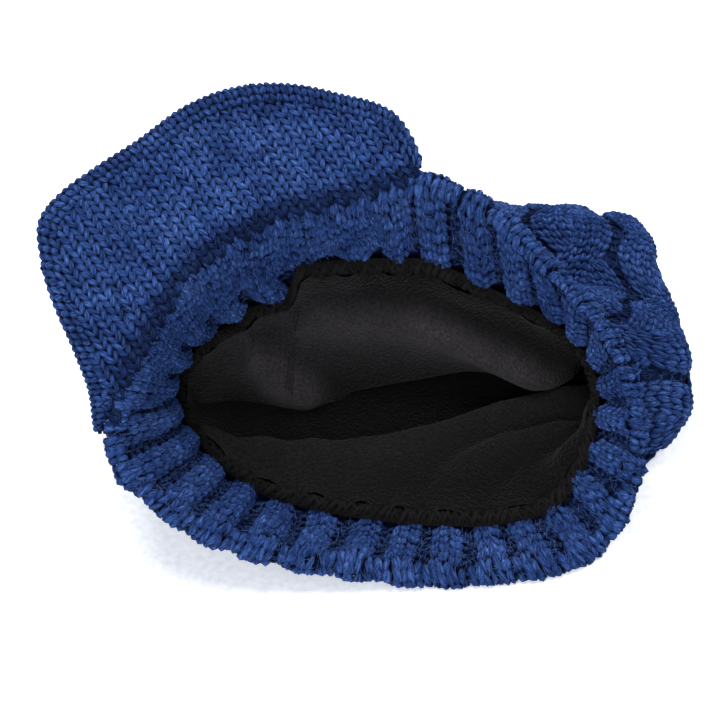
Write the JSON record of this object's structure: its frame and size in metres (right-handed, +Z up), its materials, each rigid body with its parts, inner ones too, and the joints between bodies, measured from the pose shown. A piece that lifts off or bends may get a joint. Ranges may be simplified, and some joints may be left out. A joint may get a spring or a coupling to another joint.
{
  "type": "knit cap",
  "caption": "Chunky knit cap with a short stiff peak, a ribbed band, a cabled crown and a loose fleece lining, lying on its side with its mouth open.",
  "frame": {"origin": "a point of the flattened underside on which the cap lies, below the left half of its mouth", "axes": "+Z up from the surface it lies on, +X to the right of someone who looks into the mouth, +Y away from them"},
  "size_m": [0.2483, 0.1732, 0.1206],
  "materials": {
    "crown_knit": "matte royal blue yarn, cable knit",
    "band_knit": "matte royal blue yarn, rib knit",
    "peak_knit": "matte royal blue yarn, stockinette knit",
    "lining_fleece": "charcoal fleece with a fine nap",
    "overlock_thread": "matte charcoal thread"
  },
  "bodies": {
    "root": {"crown": "crown_knit", "ribbed_band": "band_knit", "peak": "peak_knit", "lining": "lining_fleece", "lining_overlock": "overlock_thread"}
  },
  "joints": []
}
